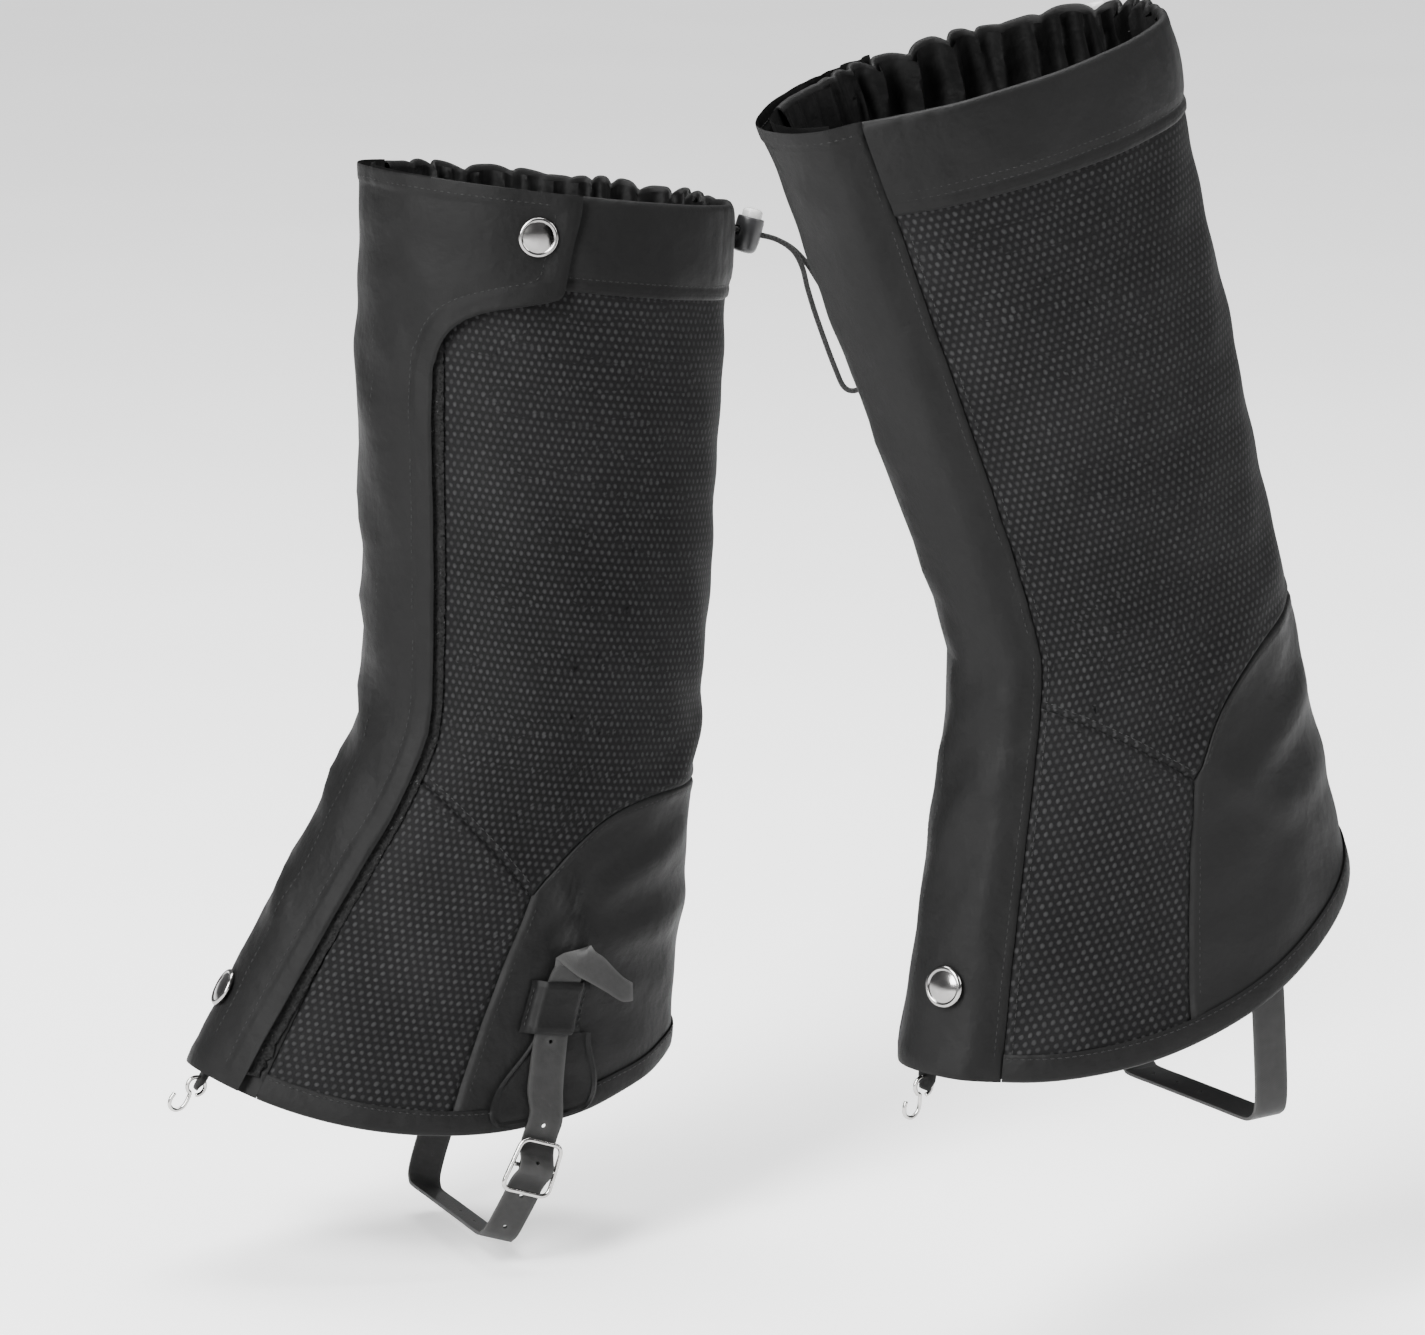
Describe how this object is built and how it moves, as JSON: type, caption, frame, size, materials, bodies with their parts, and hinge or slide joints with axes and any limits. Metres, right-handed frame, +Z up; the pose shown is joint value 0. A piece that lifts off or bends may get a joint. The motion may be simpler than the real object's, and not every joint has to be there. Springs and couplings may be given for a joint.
{
  "type": "gaiters",
  "caption": "Pair of tall boot gaiters with a front closing flap, snaps, gathered rim with cord lock, and a buckled strap under each boot, shaped as worn in mid stride.",
  "frame": {"origin": "the point on the ground under the left leg's axis, where the wearer stands", "axes": "+Z up, toes towards -X, the left gaiter's inner side faces +Y and its outer side faces -Y; the right gaiter stands at -Y, one stride back and off the ground"},
  "size_m": [0.438, 0.365, 0.5456],
  "materials": {
    "plain_cloth": "tightly woven coated nylon, black, with a soft low shine",
    "textured_cloth": "heavier woven cloth with small raised bars in rows, black",
    "edge_tape": "folded woven binding tape, black, stitched",
    "touch_tape": "hook and loop tape, black",
    "cord": "braided round cord, black",
    "strap": "coated fabric strap with punched holes, dark grey, matt",
    "nickel": "polished nickel plate",
    "steel": "plain steel wire and stampings",
    "lock_body": "moulded black plastic",
    "lock_button": "moulded light grey plastic"
  },
  "bodies": {
    "shells": {"left_calf_panel": "textured_cloth", "left_instep_panel_outer": "textured_cloth", "left_instep_panel_inner": "textured_cloth", "left_heel_panel": "plain_cloth", "left_underlap_panel": "plain_cloth", "left_collar": "plain_cloth", "left_collar_lining": "plain_cloth", "left_hem_binding": "edge_tape", "left_loop_strip": "touch_tape", "left_top_snap_stud": "steel", "left_bottom_snap_stud": "steel", "left_drawcord_run": "cord", "left_cord_eyelet": "steel", "left_strap_keeper": "plain_cloth", "left_strap_patch": "plain_cloth", "left_strap_tail": "strap", "left_lace_hook_tab": "edge_tape", "right_calf_panel": "textured_cloth", "right_instep_panel_outer": "textured_cloth", "right_instep_panel_inner": "textured_cloth", "right_heel_panel": "plain_cloth", "right_underlap_panel": "plain_cloth", "right_collar": "plain_cloth", "right_collar_lining": "plain_cloth", "right_hem_binding": "edge_tape", "right_loop_strip": "touch_tape", "right_top_snap_stud": "steel", "right_bottom_snap_stud": "steel", "right_drawcord_run": "cord", "right_cord_eyelet": "steel", "right_strap_keeper": "plain_cloth", "right_strap_patch": "plain_cloth", "right_strap_tail": "strap", "right_lace_hook_tab": "edge_tape"},
    "left_flap": {"left_front_flap": "plain_cloth", "left_hook_strip": "touch_tape", "left_top_snap_cap": "nickel", "left_bottom_snap_cap": "nickel"},
    "left_lace_hook": {"left_lace_hook": "steel"},
    "left_drawcord": {"left_drawcord_loop": "cord"},
    "left_cord_lock": {"left_lock_barrel": "lock_body", "left_lock_spring": "steel"},
    "left_lock_button": {"left_lock_plunger": "lock_button"},
    "left_stirrup": {"left_stirrup_strap": "strap", "left_buckle_tab": "edge_tape"},
    "left_buckle": {"left_buckle_frame": "nickel"},
    "right_flap": {"right_front_flap": "plain_cloth", "right_hook_strip": "touch_tape", "right_top_snap_cap": "nickel", "right_bottom_snap_cap": "nickel"},
    "right_lace_hook": {"right_lace_hook": "steel"},
    "right_drawcord": {"right_drawcord_loop": "cord"},
    "right_cord_lock": {"right_lock_barrel": "lock_body", "right_lock_spring": "steel"},
    "right_lock_button": {"right_lock_plunger": "lock_button"},
    "right_stirrup": {"right_stirrup_strap": "strap", "right_buckle_tab": "edge_tape"},
    "right_buckle": {"right_buckle_frame": "nickel"}
  },
  "joints": [
    {"name": "left_flap_open", "type": "hinge", "parent": "shells", "child": "left_flap", "pos_m": [-0.06071, 0.03578, 0.21758], "axis": [-0.0435, -0.0116, -0.999], "range_deg": [0, 90]},
    {"name": "left_hook_swing", "type": "hinge", "parent": "shells", "child": "left_lace_hook", "pos_m": [-0.14225, 0, 0.08401], "axis": [0, -1, 0], "range_deg": [-30, 30]},
    {"name": "left_cord_sway", "type": "hinge", "parent": "shells", "child": "left_drawcord", "pos_m": [0.09983, 0, 0.43776], "axis": [0, -1, 0], "range_deg": [0, 25]},
    {"name": "left_lock_slide", "type": "slide", "parent": "left_drawcord", "child": "left_cord_lock", "axis": [0.9613, 0, -0.2756], "range_m": [0, 0.005]},
    {"name": "left_lock_press", "type": "slide", "parent": "left_cord_lock", "child": "left_lock_button", "axis": [-0.2756, 0, -0.9613], "range_m": [0, 0.0026], "stiffness_N_per_m": 300, "springref_m": -0.003},
    {"name": "left_strap_swing", "type": "hinge", "parent": "shells", "child": "left_stirrup", "pos_m": [-0.00845, 0, 0.06301], "axis": [0, 1, 0], "range_deg": [-30, 30]},
    {"name": "left_buckle_tilt", "type": "hinge", "parent": "left_stirrup", "child": "left_buckle", "pos_m": [-0.0137, -0.062, 0.04684], "axis": [0.9511, 0, -0.309], "range_deg": [-2, 4]},
    {"name": "right_flap_open", "type": "hinge", "parent": "shells", "child": "right_flap", "pos_m": [0.11747, -0.28405, 0.27769], "axis": [-0.3319, -0.0624, 0.9413], "range_deg": [0, 90]},
    {"name": "right_hook_swing", "type": "hinge", "parent": "shells", "child": "right_lace_hook", "pos_m": [0.08424, -0.25284, 0.12377], "axis": [0.1478, -0.989, 0], "range_deg": [-30, 30]},
    {"name": "right_cord_sway", "type": "hinge", "parent": "shells", "child": "right_drawcord", "pos_m": [0.17353, -0.2116, 0.53955], "axis": [0.7673, -0.6225, 0.154], "range_deg": [0, 25]},
    {"name": "right_lock_slide", "type": "slide", "parent": "right_drawcord", "child": "right_cord_lock", "axis": [0.6155, 0.7823, 0.0956], "range_m": [0, 0.005]},
    {"name": "right_lock_press", "type": "slide", "parent": "right_cord_lock", "child": "right_lock_button", "axis": [0.18, -0.0214, -0.9834], "range_m": [0, 0.0026], "stiffness_N_per_m": 300, "springref_m": -0.003},
    {"name": "right_strap_swing", "type": "hinge", "parent": "shells", "child": "right_stirrup", "pos_m": [0.21522, -0.23327, 0.15211], "axis": [-0.1478, 0.989, 0], "range_deg": [-30, 30]},
    {"name": "right_buckle_tilt", "type": "hinge", "parent": "right_stirrup", "child": "right_buckle", "pos_m": [0.20694, -0.17181, 0.13514], "axis": [-0.9877, -0.1476, -0.0523], "range_deg": [-2, 4]}
  ]
}
